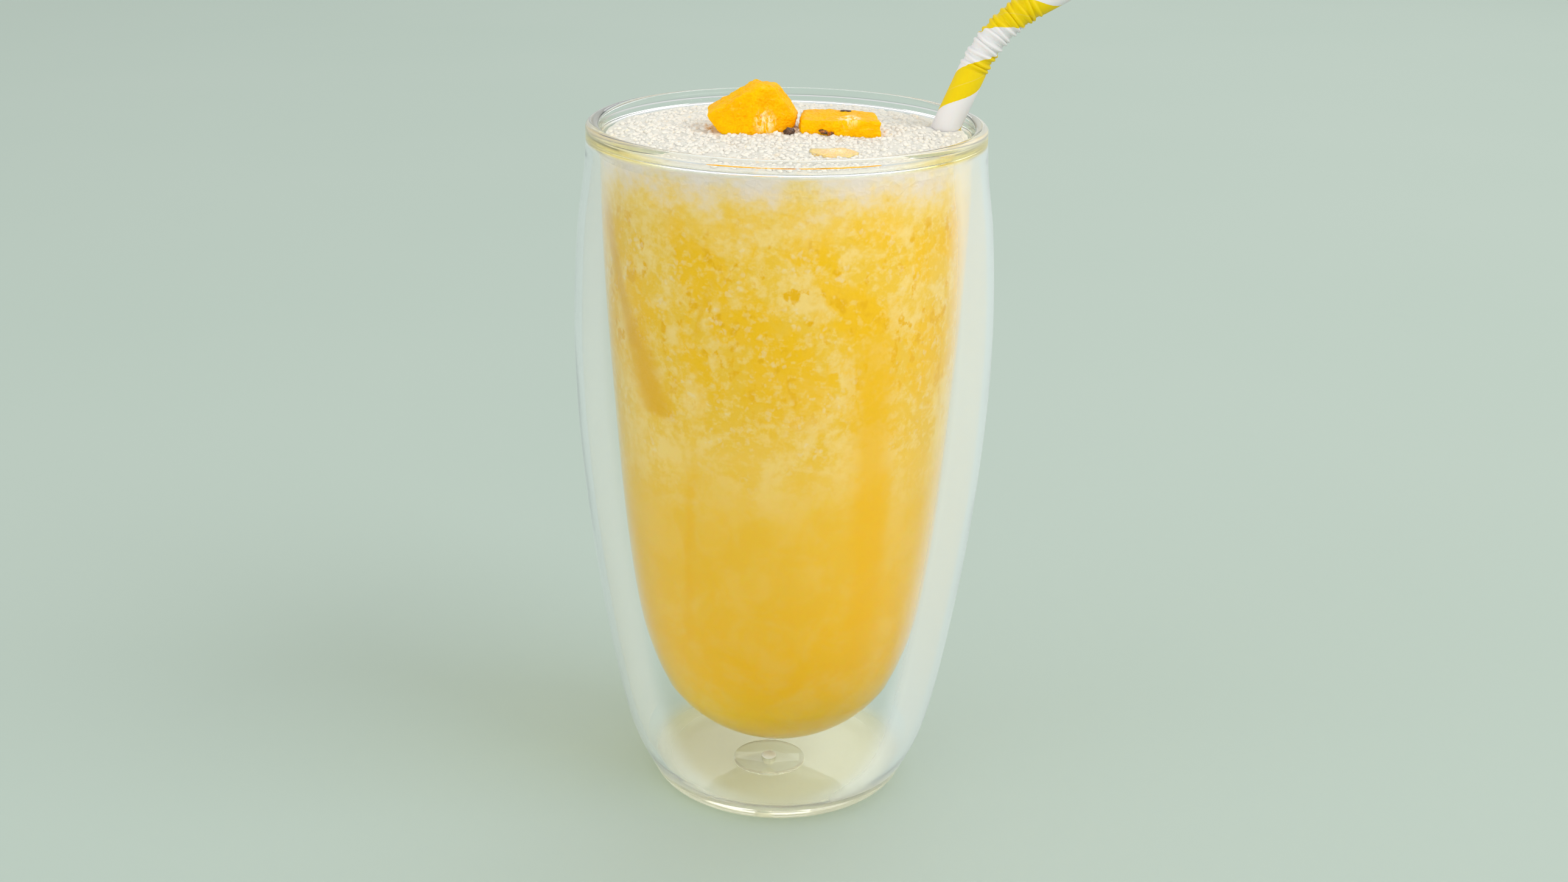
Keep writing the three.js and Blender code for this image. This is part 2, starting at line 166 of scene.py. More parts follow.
class Nodes:
    """A material's tree, with short ways to add nodes and links."""

    def __init__(self, name):
        self.material = bpy.data.materials.new(name)
        self.material.use_nodes = True
        self.tree = self.material.node_tree
        self.tree.nodes.clear()
        self.output = self.tree.nodes.new("ShaderNodeOutputMaterial")
        self.place = None

    def add(self, kind, inputs=None, **settings):
        node = self.tree.nodes.new(kind)
        for key, value in settings.items():
            setattr(node, key, value)
        for key, value in (inputs or {}).items():
            self.feed(node.inputs[key], value)
        return node

    def feed(self, socket, value):
        if isinstance(value, bpy.types.NodeSocket):
            self.tree.links.new(value, socket)
        elif hasattr(value, "__len__") and len(value) == 3 and len(socket.default_value) == 4:
            socket.default_value = (*value, 1.0)
        else:
            socket.default_value = value

    def math(self, operation, a, b=0.0, c=0.0, clamp=False):
        node = self.add("ShaderNodeMath", {0: a, 1: b, 2: c}, operation=operation, use_clamp=clamp)
        return node.outputs[0]

    def smooth(self, value, low, high, to_low=0.0, to_high=1.0):
        node = self.add(
            "ShaderNodeMapRange",
            {"Value": value, "From Min": low, "From Max": high, "To Min": to_low, "To Max": to_high},
            interpolation_type="SMOOTHSTEP",
        )
        return node.outputs["Result"]

    def mix(self, factor, a, b, blend="MIX"):
        node = self.add("ShaderNodeMix", data_type="RGBA", blend_type=blend)
        self.feed(node.inputs["Factor"], factor)
        self.feed(node.inputs[6], a)
        self.feed(node.inputs[7], b)
        return node.outputs[2]

    def millimetres(self):
        """The point on the piece, in millimetres."""
        if self.place is None:
            coordinates = self.add("ShaderNodeTexCoord")
            scaled = self.add(
                "ShaderNodeVectorMath", {0: coordinates.outputs["Object"], 3: 1000.0}, operation="SCALE"
            )
            self.place = scaled.outputs[0]
        return self.place

    def stretched(self, across, depth, up):
        scaled = self.add(
            "ShaderNodeVectorMath", {0: self.millimetres(), 1: (across, depth, up)}, operation="MULTIPLY"
        )
        return scaled.outputs[0]

    def noise(self, scale, detail=3.0, roughness=0.5, vector=None, distortion=0.0):
        node = self.add(
            "ShaderNodeTexNoise",
            {
                "Vector": vector or self.millimetres(),
                "Scale": scale,
                "Detail": detail,
                "Roughness": roughness,
                "Distortion": distortion,
            },
        )
        return node.outputs["Fac"]

    def cells(self, scale, vector=None):
        node = self.add("ShaderNodeTexVoronoi", {"Vector": vector or self.millimetres(), "Scale": scale})
        return node.outputs["Distance"]

    def bump(self, height, strength, distance):
        node = self.add("ShaderNodeBump", {"Height": height, "Strength": strength, "Distance": distance})
        return node.outputs["Normal"]

    def blend(self, factor, a, b):
        node = self.add("ShaderNodeMixShader", {0: factor, 1: a, 2: b})
        return node.outputs[0]

    def surface(self, **inputs):
        """One Principled shader, its inputs given by name with _ for a space."""
        shader = self.add("ShaderNodeBsdfPrincipled")
        for key, value in inputs.items():
            self.feed(shader.inputs[key.replace("_", " ")], value)
        self.tree.links.new(shader.outputs[0], self.output.inputs["Surface"])
        return shader


def glass_material(tint):
    """Clear glass, warmer in its base with painted warm light that stands for light through the juice, and golden in
    the rim with a painted refraction of the juice, on its front and towards both sides.
    A thin veil stands for the soft reflections on the outer wall, stronger on the side of the key light; in the base it
    is a painted warm glow, and in the rim a painted golden refraction, stronger on the left."""
    n = Nodes("clear_glass")
    across, depth, up = height_of(n)
    # Where the rim takes its painted refraction of the juice: its bead, on the front and towards both sides
    front = n.smooth(depth, 16.0, -10.0)
    sides = n.smooth(n.math("ABSOLUTE", across), 18.0, 34.0)
    bead = n.math("MULTIPLY", n.smooth(up, 146.0, 147.2), n.smooth(up, 149.4, 148.0, 0.3, 1.0))
    rim = n.math("MULTIPLY", bead, n.math("MULTIPLY", front, sides))
    # Painted warm light in the base, and a painted golden refraction of the juice in the rim
    shade = n.mix(n.smooth(up, 6.0, 3.0), tint, (0.985, 0.95, 0.80))
    shade = n.mix(rim, shade, (0.985, 0.86, 0.34))
    facing = n.add("ShaderNodeLayerWeight", {"Blend": 0.5}).outputs["Facing"]
    gloss = n.smooth(facing, 0.2, 0.6, 0.22, 0.7)
    shader = n.surface(
        Base_Color=shade,
        Roughness=0.0,
        IOR=1.47,
        Transmission_Weight=1.0,
        Specular_Tint=n.mix(gloss, (0.0, 0.0, 0.0), (1.0, 1.0, 1.0)),
        Normal=n.bump(n.noise(0.035, 1.0, 0.4), 0.12, 0.0006),
    )
    # Painted warm glow in the base: the veil there is milky and warm, standing for light through the juice
    foot = n.smooth(up, 8.0, 3.0)
    veil_shade = n.mix(foot, (0.91, 0.94, 0.98), (0.96, 0.93, 0.76))
    veil = n.add("ShaderNodeBsdfDiffuse", {"Color": n.mix(rim, veil_shade, (0.95, 0.83, 0.46))})
    grazing = n.math("ADD", facing, n.smooth(across, 8.0, 42.0, 0.0, 0.06))
    amount = n.smooth(across, -42.0, 42.0, 0.19, 0.38)
    share = n.math("MULTIPLY", n.smooth(grazing, 0.40, 0.56), amount)
    share = n.math("MULTIPLY", share, outer_share(n))
    share = n.math("MAXIMUM", share, n.math("MULTIPLY", foot, 0.28))
    # Painted golden refraction of the juice in the rim's veil, stronger on the left
    share = n.math("MAXIMUM", share, n.math("MULTIPLY", rim, n.smooth(across, 30.0, -30.0, 0.03, 0.16)))
    veiled = n.blend(share, shader.outputs[0], veil.outputs[0])
    passing = n.add("ShaderNodeBsdfTransparent", {"Color": (0.97, 0.985, 0.975)})
    path = n.add("ShaderNodeLightPath")
    both = n.blend(path.outputs["Is Shadow Ray"], veiled, passing.outputs[0])
    n.tree.links.new(both, n.output.inputs["Surface"])
    return n.material


def outer_share(n):
    """1 on the outer wall and 0 on the bowl, told apart by a cone that runs between the two."""
    x, y, z = height_of(n)
    radius = n.math("SQRT", n.math("MULTIPLY_ADD", x, x, n.math("MULTIPLY", y, y)))
    between = n.math("MINIMUM", n.math("MULTIPLY_ADD", z, 0.11, 29.0), 40.3)
    return n.math("GREATER_THAN", radius, between)


def silicone_material():
    n = Nodes("silicone")
    dust = n.noise(3.0, 4.0)
    shade = n.mix(dust, (0.90, 0.87, 0.76), (0.96, 0.95, 0.88))
    n.surface(Base_Color=shade, Roughness=0.35, IOR=1.41, Transmission_Weight=0.35, Normal=n.bump(dust, 0.2, 0.0001))
    return n.material


# Streaks down the inside of the glass, where juice runs between the ice: heights at the bottom and
# the top in millimetres, and how far round from the front each end is, in degrees
STREAKS = (
    {"low": 37.0, "high": 116.0, "at_low": 34.5, "at_high": 29.0, "width": 12.0, "strength": 0.75, "dark": 0.1},
    {"low": 43.0, "high": 84.0, "at_low": -37.0, "at_high": -31.0, "width": 3.4, "strength": 0.4, "dark": 0.2},
    {"low": 94.0, "high": 111.0, "at_low": -44.0, "at_high": -54.0, "width": 11.0, "strength": 0.9, "dark": 0.6},
    {"low": 107.0, "high": 138.0, "at_low": -53.0, "at_high": -72.0, "width": 5.5, "strength": 0.7, "dark": 0.8},
    {"low": 113.0, "high": 126.0, "at_low": -28.0, "at_high": -21.0, "width": 1.8, "strength": 0.6, "dark": 0.3},
)


# Red, green and blue that a shaded streak keeps
SHADOWED = (0.84, 0.74, 0.5)


def height_of(n):
    parts = n.add("ShaderNodeSeparateXYZ", {0: n.millimetres()})
    return parts.outputs


def streak_share(n, streak, angle, up):
    """1 inside a streak of clear juice, soft at its sides and crisp at its foot."""
    rise = n.math("SUBTRACT", up, streak["low"])
    slope = (streak["at_high"] - streak["at_low"]) / (streak["high"] - streak["low"])
    middle = n.math("MULTIPLY_ADD", rise, slope, streak["at_low"])
    aside = n.math("ABSOLUTE", n.math("SUBTRACT", angle, middle))
    across = n.smooth(aside, streak["width"], streak["width"] * 0.15)
    foot = n.smooth(up, streak["low"] - 0.6, streak["low"] + 1.2)
    head = n.smooth(up, streak["high"] + 8.0, streak["high"] - 8.0)
    return n.math("MULTIPLY", n.math("MULTIPLY", across, foot), n.math("MULTIPLY", head, streak["strength"]))


def drink_colour(n, look):
    """The drink's colour by height, its clumps of ice, and its streaks: shared by slush and foam."""
    x, y, z = height_of(n)
    wander = n.math("MULTIPLY_ADD", n.noise(0.07, 2.0), 30.0, -15.0)
    up = n.math("ADD", z, wander)
    clumps = n.noise(0.50, 6.0, 0.60, vector=n.stretched(1.0, 1.0, 1.2))
    ragged = n.math("MULTIPLY_ADD", n.noise(0.11, 4.0, 0.6), 20.0, -10.0)
    crumbled = n.math("MULTIPLY_ADD", clumps, 10.0, -5.0)
    icy_up = n.math("ADD", n.math("ADD", z, ragged), crumbled)

    patches = n.noise(0.11, 4.0, 0.62, distortion=0.5)
    pools = n.noise(0.12, 5.0, 0.58, vector=n.stretched(1.0, 1.0, 0.75), distortion=0.3)
    pockets = n.noise(0.30, 4.0, 0.55, vector=n.stretched(1.0, 1.0, 0.8))
    bits = n.noise(0.16, 3.0, 0.6)
    shaken = n.add("ShaderNodeTexNoise", {"Vector": n.millimetres(), "Scale": 0.6, "Detail": 2.0})
    drift = n.add("ShaderNodeVectorMath", {0: shaken.outputs["Color"], 3: 2.2}, operation="SCALE")
    askew = n.add("ShaderNodeVectorMath", {0: n.millimetres(), 1: drift.outputs[0]}, operation="ADD")
    crystals = n.cells(0.62, vector=askew.outputs[0])

    # Below the floating ice: cloudy in the middle of the glass, clear and deep at the bottom
    deep = n.smooth(up, 78.0, 22.0)
    juice = n.mix(deep, look.straw_yellow, look.gold)
    # Painted glow: the round bottom's juice made brighter, standing for light that gathers there
    juice = n.mix(n.smooth(z, 44.0, 14.0), juice, look.painted_glow)
    haze = n.math("MULTIPLY", n.smooth(patches, 0.40, 0.66), 0.22)
    haze = n.math("ADD", haze, n.math("MULTIPLY", n.smooth(icy_up, 72.0, 90.0), 0.6))
    juice = n.mix(haze, juice, look.cream)

    # In the floating ice: clear gold between cream clumps
    cloud = n.smooth(n.math("MULTIPLY_ADD", clumps, 0.45, patches), 0.62, 0.86)
    slush = n.mix(cloud, look.straw_yellow, look.cream)
    clear = n.smooth(z, 88.0, 110.0)
    slush = n.mix(n.math("MULTIPLY", n.smooth(pools, 0.58, 0.44), n.math("MULTIPLY", clear, 0.9)), slush, look.gold)
    slush = n.mix(n.math("MULTIPLY", n.smooth(pockets, 0.42, 0.34), clear), slush, look.pocket)
    grainy = n.math("MULTIPLY", n.smooth(clumps, 0.50, 0.66), 0.55)
    slush = n.mix(grainy, slush, look.cream)
    # Small pale crystals: the ice's own white, and painted glints where they catch the light
    pale_crystals_and_glints = n.math("MULTIPLY", n.smooth(crystals, 0.46, 0.20), n.smooth(bits, 0.50, 0.62))
    slush = n.mix(n.math("MULTIPLY", pale_crystals_and_glints, 0.28), slush, look.ice)
    floating = n.smooth(up, look.slush_floor - 16.0, look.slush_floor + 10.0)
    shade = n.mix(floating, juice, slush)

    # Streaks of clear juice
    angle = n.math("MULTIPLY", n.math("ARCTAN2", x, n.math("MULTIPLY", y, -1.0)), 180.0 / math.pi)
    angle = n.math("ADD", angle, n.math("MULTIPLY_ADD", n.noise(0.22, 2.0), 5.0, -2.5))
    # Each streak's dark share is painted shade on its gold, most on the streaks on the left, away from the key light
    shadowed = tuple(value * share for value, share in zip(look.gold, SHADOWED))
    for streak in STREAKS:
        juice = n.mix(streak["dark"], look.gold, shadowed)
        shade = n.mix(streak_share(n, streak, angle, z), shade, juice)

    # Up to the foam: paler and paler, with ragged edges
    creamy = n.smooth(icy_up, 129.0, 144.0)
    shade = n.mix(n.math("MULTIPLY", creamy, 0.8), shade, look.cream)
    icy = n.smooth(icy_up, 136.5, 148.5)
    shade = n.mix(icy, shade, look.froth)
    return shade, {"clumps": clumps, "bits": bits, "crystals": crystals, "floating": floating}


def slush_material(look):
    n = Nodes("slush")
    shade, parts = drink_colour(n, look)
    relief = n.math("ADD", n.math("MULTIPLY", parts["crystals"], -0.5), parts["clumps"])
    relief = n.math("MULTIPLY", relief, n.math("MULTIPLY_ADD", parts["floating"], 0.92, 0.08))
    shader = n.surface(
        Base_Color=shade,
        Roughness=n.smooth(parts["clumps"], 0.3, 0.7, 0.32, 0.55),
        IOR=1.36,
        Specular_IOR_Level=0.15,
        Subsurface_Weight=n.smooth(height_of(n)[2], 125.0, 60.0, 0.0, 0.8),
        Subsurface_Radius=(1.0, 0.72, 0.3),
        Subsurface_Scale=n.smooth(height_of(n)[2], 50.0, 12.0, 0.012, 0.05),
        Normal=n.bump(relief, 0.2, 0.0005),
    )
    # Light that comes through the drink tints the shadow under it
    through = n.add("ShaderNodeBsdfTransparent", {"Color": (0.62, 0.55, 0.31)})
    path = n.add("ShaderNodeLightPath")
    both = n.blend(path.outputs["Is Shadow Ray"], shader.outputs[0], through.outputs[0])
    n.tree.links.new(both, n.output.inputs["Surface"])
    return n.material


def foam_material(look):
    n = Nodes("ice_foam")
    shade, parts = drink_colour(n, look)
    # Warm flecks of juice between the crystals on top
    z = height_of(n)[2]
    flecks = n.math("MULTIPLY", n.smooth(n.noise(0.33, 4.0, 0.65), 0.56, 0.74), 0.55)
    top = n.smooth(z, 145.6, 146.6)
    shade = n.mix(top, shade, look.bed)
    shade = n.mix(n.math("MULTIPLY", flecks, top), shade, (0.93, 0.66, 0.36))
    n.surface(
        Base_Color=shade,
        Roughness=0.5,
        IOR=1.31,
        Specular_IOR_Level=0.35,
        Subsurface_Weight=n.math("MULTIPLY", top, 0.8),
        Subsurface_Radius=(1.0, 0.95, 0.85),
        Subsurface_Scale=0.002,
        Normal=n.bump(parts["crystals"], 0.35, 0.0004),
    )
    return n.material


def crystal_material(look):
    n = Nodes("ice_crystals")
    warm = n.smooth(n.noise(0.33, 4.0, 0.65), 0.56, 0.76)
    speck = n.smooth(n.noise(1.9, 2.0), 0.60, 0.72)
    shade = n.mix(n.math("MULTIPLY", warm, 0.4), look.ice, (0.94, 0.70, 0.42))
    shade = n.mix(n.math("MULTIPLY", speck, 0.35), shade, (0.96, 0.78, 0.40))
    n.surface(
        Base_Color=shade,
        Roughness=0.45,
        IOR=1.31,
        Specular_IOR_Level=0.2,
        Subsurface_Weight=0.2,
        Subsurface_Radius=(1.0, 0.97, 0.9),
        Subsurface_Scale=0.0004,
    )
    return n.material


def mango_material(look, pale_at, wash=0.0):
    """Moist fruit: deep orange where it is thick, with pale fibres round a cut and fine pores. Wash is
    how much of the foam's white lies over it."""
    n = Nodes("mango")
    flesh = n.noise(0.28, 4.0, 0.6)
    strands = n.noise(0.55, 3.0, 0.6, vector=n.stretched(1.0, 1.0, 2.6))
    pores = n.cells(1.6)
    shade = n.mix(n.smooth(flesh, 0.36, 0.66), look.mango, (1.0, 0.50, 0.0))
    shade = n.mix(n.math("MULTIPLY", n.smooth(strands, 0.58, 0.78), 0.35), shade, look.pulp)
    away = n.add("ShaderNodeVectorMath", {0: n.millimetres(), 1: pale_at}, operation="DISTANCE")
    near = n.smooth(away.outputs["Value"], 3.2, 1.0)
    torn = n.smooth(n.noise(0.7, 4.0, 0.6, vector=n.stretched(1.4, 1.0, 0.7), distortion=0.8), 0.42, 0.56)
    shade = n.mix(n.math("MULTIPLY", n.math("MULTIPLY", near, torn), 0.9), shade, (1.0, 0.84, 0.50))
    shade = n.mix(wash, shade, (0.86, 0.77, 0.55))
    relief = n.math("ADD", n.math("MULTIPLY", pores, -0.6), strands)
    n.surface(
        Base_Color=shade,
        Roughness=n.smooth(flesh, 0.3, 0.7, 0.4, 0.6),
        IOR=1.36,
        Specular_IOR_Level=0.12,
        Subsurface_Weight=0.5,
        Subsurface_Radius=(1.0, 0.55, 0.08),
        Subsurface_Scale=0.002,
        Normal=n.bump(relief, 0.8, 0.0005),
    )
    return n.material


def seed_material(look, bruise):
    n = Nodes("passion_seed")
    pits = n.cells(3.2)
    crust = n.noise(1.8, 4.0, 0.7)
    shade = n.mix(n.smooth(crust, 0.40, 0.62), look.seed, bruise)
    n.surface(Base_Color=shade, Roughness=0.32, Normal=n.bump(pits, 0.7, 0.0002))
    return n.material


def straw_material(look):
    """Smooth white paper with a yellow band, wound by the paper's own coordinates."""
    n = Nodes("straw_paper")
    uv = n.add("ShaderNodeUVMap", uv_map="wound")
    parts = n.add("ShaderNodeSeparateXYZ", {0: uv.outputs[0]})
    wound = parts.outputs["X"]
    edge = n.math("MULTIPLY_ADD", n.noise(2.2, 2.0), 0.012, -0.006)
    place = n.math("FRACT", n.math("ADD", wound, edge))
    yellow = n.math("SUBTRACT", n.smooth(place, 0.0, 0.006), n.smooth(place, 0.5, 0.506))
    fibres = n.noise(1.6, 5.0, 0.65, vector=n.stretched(1.0, 1.0, 0.35))
    paper = n.mix(n.math("MULTIPLY", fibres, 0.25), look.paper, (0.62, 0.60, 0.60))
    inked = n.mix(n.math("MULTIPLY", fibres, 0.30), look.stripe, (0.64, 0.45, 0.0))
    seam = n.math("FRACT", n.math("ADD", wound, 0.27))
    lap = n.math("MULTIPLY", n.smooth(n.math("ABSOLUTE", n.math("SUBTRACT", seam, 0.5)), 0.012, 0.0), 0.12)
    shade = n.mix(lap, n.mix(yellow, paper, inked), (0.5, 0.46, 0.4))
    n.surface(
        Base_Color=shade,
        Roughness=0.5,
        Specular_IOR_Level=0.2,
        Subsurface_Weight=0.12,
        Subsurface_Scale=0.0006,
        Normal=n.bump(fibres, 0.12, 0.0001),
    )
    return n.material


# Outlines: lists of (radius, height) in millimetres


def arc(centre, across, up, start, end, steps):
    angles = (math.radians(start + (end - start) * i / steps) for i in range(steps + 1))
    return [(centre[0] + across * math.cos(a), centre[1] + up * math.sin(a)) for a in angles]


def curve_through(stations, steps):
    """A centripetal Catmull-Rom curve, the one that the part's source draws its walls with."""
    points = [Vector(p) for p in stations]
    points = [2 * points[0] - points[1], *points, 2 * points[-1] - points[-2]]
    outline = []
    for i in range(1, len(points) - 2):
        p0, p1, p2, p3 = points[i - 1 : i + 3]
        k1 = (p1 - p0).length ** 0.5
        k2 = k1 + (p2 - p1).length ** 0.5
        k3 = k2 + (p3 - p2).length ** 0.5
        for j in range(steps):
            t = k1 + (k2 - k1) * j / steps
            a1 = p0 * ((k1 - t) / k1) + p1 * (t / k1)
            a2 = p1 * ((k2 - t) / (k2 - k1)) + p2 * ((t - k1) / (k2 - k1))
            a3 = p2 * ((k3 - t) / (k3 - k2)) + p3 * ((t - k2) / (k3 - k2))
            b1 = a1 * ((k2 - t) / k2) + a2 * (t / k2)
            b2 = a2 * ((k3 - t) / (k3 - k1)) + a3 * ((t - k1) / (k3 - k1))
            outline.append(tuple(b1 * ((k2 - t) / (k2 - k1)) + b2 * ((t - k1) / (k2 - k1))))
    outline.append(tuple(points[-2]))
    return outline


def moved(outline, distance):
    """The same outline moved sideways, to the left of its direction."""
    shifted = []
    last = len(outline) - 1
    for i, (r, z) in enumerate(outline):
        before = outline[max(i - 1, 0)]
        after = outline[min(i + 1, last)]
        along = Vector((after[0] - before[0], after[1] - before[1])).normalized()
        shifted.append((r - along.y * distance, z + along.x * distance))
    return shifted


def heel_outline(glass):
    centre = (glass.base_flat, glass.heel_round)
    return arc(centre, glass.heel_round, glass.heel_round, -90, -glass.heel_slope, 12)


def outer_wall(glass):
    neck = (41.5, glass.height - glass.bead_tall)
    stations = [heel_outline(glass)[-1], (33.3, 14), (39.5, 45), (43.6, 80), (44.6, 106), (43.55, 128), (42, 140), neck]
    return curve_through(stations, 9)


def bowl_outside(glass):
    centre = glass.bowl_bottom + glass.ball_radius
    top = math.degrees(math.asin((glass.ball_top - centre) / glass.ball_radius))
    ball = arc((0, centre), glass.ball_radius, glass.ball_radius, -90, top, 22)
    ball[0] = (0.0, ball[0][1])
    side = curve_through(
        [ball[-1], (28, 30.8), (30.8, 40), (33.7, 59), (36.3, 90), (38.2, 122), (38.65, 143.5)], 9
    )
    return ball + side[1:]


def bowl_inside(glass, clearance=0.0):
    outline = moved(bowl_outside(glass), glass.inner_wall + clearance)
    outline[0] = (0.0, outline[0][1])
    return outline


# Meshes


def revolve(name, outline, sides):
    """A closed solid of revolution about Z. The outline goes from the axis at the bottom, up the
    outside and back to the axis."""
    bm = bmesh.new()
    rings = []
    for radius, height in outline:
        if radius < 1e-6:
            rings.append([bm.verts.new((0, 0, height * MM))])
            continue
        ring = []
        for i in range(sides):
            angle = 2 * math.pi * i / sides
            ring.append(bm.verts.new((radius * math.cos(angle) * MM, radius * math.sin(angle) * MM, height * MM)))
        rings.append(ring)
    for low, high in zip(rings, rings[1:]):
        for i in range(sides):
            j = (i + 1) % sides
            corners = [low[i % len(low)], low[j % len(low)], high[j % len(high)], high[i % len(high)]]
            bm.faces.new(list(dict.fromkeys(corners)))
    return finished_mesh(name, bm)


def finished_mesh(name, bm, smooth=True):
    mesh = bpy.data.meshes.new(name)
    bm.normal_update()
    bm.to_mesh(mesh)
    bm.free()
    mesh.shade_smooth() if smooth else mesh.shade_flat()
    return mesh


def new_object(name, mesh):
    thing = bpy.data.objects.new(name, mesh)
    bpy.context.scene.collection.objects.link(thing)
    return thing


def settle(thing, sharp=None):
    """The evaluated shape as the object's own mesh, with its modifiers gone."""
    shape = thing.evaluated_get(bpy.context.evaluated_depsgraph_get())
    mesh = bpy.data.meshes.new_from_object(shape, depsgraph=bpy.context.evaluated_depsgraph_get())
    mesh.name = thing.name
    thing.modifiers.clear()
    thing.data = mesh
    if sharp is not None:
        mesh.set_sharp_from_angle(angle=math.radians(sharp))
    return thing


def dress(thing, material, slot, *nodes):
    """Gives a piece its material, and says what it rides on and stands for."""
    thing.data.materials.clear()
    thing.data.materials.append(material)
    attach(thing, "root")
    if nodes:
        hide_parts(*nodes)
    return thing


def boolean(thing, other, operation):
    cut = thing.modifiers.new(operation.lower(), "BOOLEAN")
    cut.operation = operation
    cut.solver = "MANIFOLD"
    cut.object = other


def post_mesh(name, x, y, low_radius, high_radius, low, high, sides):
    outline = [(0, low), (low_radius, low), (high_radius, high), (0, high)]
    mesh = revolve(name, outline, sides)
    mesh.transform(Matrix.Translation((x * MM, y * MM, 0)))
    return mesh


def drop(*things):
    for thing in things:
        mesh = thing.data
        bpy.data.objects.remove(thing)
        bpy.data.meshes.remove(mesh)


def build_glass():
    glass = settings(bpy.context.scene.cooler_glass)
    half = glass.bead_width / 2
    tall = glass.bead_tall / 2
    bead = arc((glass.bead_radius - half, glass.height - tall), half, tall, -15, 205, 28)
    outline = [(0, 0), *heel_outline(glass), *outer_wall(glass)[1:-1], *bead, *reversed(bowl_inside(glass))]
    body = new_object("double_wall_glass_clear", revolve("glass_body", outline, glass.sides))
    floor = glass.base_thickness
    inside = [p for p in moved(outer_wall(glass), glass.outer_wall) if floor + 4 < p[1] < 143.5]
    fillet = curve_through([(glass.floor_radius - 2.5, floor), (glass.floor_radius - 0.4, floor + 0.35),
                            (glass.floor_radius + 1.2, floor + 1.7), inside[0]], 5)
    top = arc((39.45, 145.2), 0.75, 2, 10, 170, 12)
    space = new_object(
        "space",
        revolve("space", [(0, floor), *fillet, *inside[1:], *top, *reversed(bowl_outside(glass))], glass.sides),
    )
    boss_top = floor + glass.boss_rise
    wide = glass.boss_radius
    ring = [(wide + 0.3, floor - 1), (wide, boss_top), (wide - 0.35, boss_top + 0.2), (wide - 0.8, boss_top)]
    boss_mesh = revolve("boss", [(0, floor - 1), *ring, (0, boss_top)], 96)
    boss_mesh.transform(Matrix.Translation((glass.vent_x * MM, glass.vent_y * MM, 0)))
    boss = new_object("boss", boss_mesh)
    vent = new_object("vent", post_mesh("vent", glass.vent_x, glass.vent_y, glass.vent_bore, glass.vent_bore, -1, boss_top + 1, 32))
    boolean(body, space, "DIFFERENCE")
    boolean(body, boss, "UNION")
    boolean(body, vent, "DIFFERENCE")
    settle(body, sharp=32)
    drop(space, boss, vent)
    dress(body, glass_material(glass.tint), "clear_glass", "double_wall_glass")


def build_plug():
    glass = settings(bpy.context.scene.cooler_glass)
    head_at = glass.base_thickness + glass.boss_rise + 0.3
    head = arc((0, head_at), 1.65, 0.9, 0, 90, 8)
    head[-1] = (0.0, head[-1][1])
    mesh = revolve("vent_plug_soft", [(0, 0.5), (0.85, 0.5), (1, 0.65), (1, head_at), (1.5, head_at), *head], 40)
    mesh.transform(Matrix.Translation((glass.vent_x * MM, glass.vent_y * MM, 0)))
    plug = new_object("vent_plug_soft", mesh)
    mesh.set_sharp_from_angle(angle=math.radians(40))
    dress(plug, silicone_material(), "silicone", "vent_plug")


def straw_shaft():
    """The room that the straw's straight length takes, as a cutter."""
    g = settings(bpy.context.scene.cooler_garnish)
    radius = g.straw_radius + 0.1
    mesh = post_mesh("straw_way", 0, 0, radius, radius, -g.sunk - 0.4, g.clear, 48)
    mesh.transform(Matrix.Translation(g.foot * MM) @ Matrix.Rotation(math.radians(g.lean), 4, "Y"))
    return new_object("straw_way", mesh)


def build_slush():
    glass = settings(bpy.context.scene.cooler_glass)
    look = settings(bpy.context.scene.cooler_drink)
    side = [p for p in bowl_inside(glass, -look.reach) if p[1] < look.foam_bottom - 0.6]
    top = (side[-1][0] + 0.02, look.foam_bottom)
    rings = [(top[0] * share / 6, look.foam_bottom) for share in range(5, 0, -1)]
    drink = new_object("slush_drink_wet", revolve("slush", [*side, top, *rings, (0, look.foam_bottom)], 160))
    way = straw_shaft()
    boolean(drink, way, "DIFFERENCE")
    settle(drink, sharp=40)
    drop(way)
    dress(drink, slush_material(look), "slush", "slush_drink")


def foam_height(look, x, y, wall):
    share = min(math.hypot(x, y) / wall, 1.0)
    mound = look.foam_crown + (look.foam_edge - look.foam_crown) * share**4
    point = Vector((x, y, 0.0))
    swell = noise.noise(point * 0.10 + Vector((3.1, 0.0, 0.0))) * 0.55
    lump = noise.noise(point * 0.35) * 0.45
    grain = abs(noise.noise(point * 1.1 + Vector((0.0, 7.7, 0.0)))) * 0.55
    return mound + (swell + lump + grain) * (1 - 0.35 * share)


def foam_mesh(glass, look):
    wall = bowl_inside(glass, -look.reach)[-1][0]
    bottom = look.foam_bottom
    outline = [(0, bottom), (wall - 0.06, bottom), (wall, look.foam_edge - 1.5), (wall + 0.02, look.foam_edge)]
    rings = 70
    outline += [(wall * (1 - i / rings), look.foam_edge + 0.1) for i in range(1, rings)]
    outline.append((0, look.foam_edge + 0.1))
    mesh = revolve("ice_foam_body", outline, 220)
    for vertex in mesh.vertices:
        x, y, z = vertex.co / MM
        if z > look.foam_edge - 0.05:
            vertex.co.z = foam_height(look, x, y, wall) * MM
    return mesh


def build_foam():
    glass = settings(bpy.context.scene.cooler_glass)
    look = settings(bpy.context.scene.cooler_drink)
    foam = new_object("ice_foam_body", foam_mesh(glass, look))
    way = straw_shaft()
    boolean(foam, way, "DIFFERENCE")
    settle(foam, sharp=60)
    drop(way)
    dress(foam, foam_material(look), "ice_foam", "ice_foam")


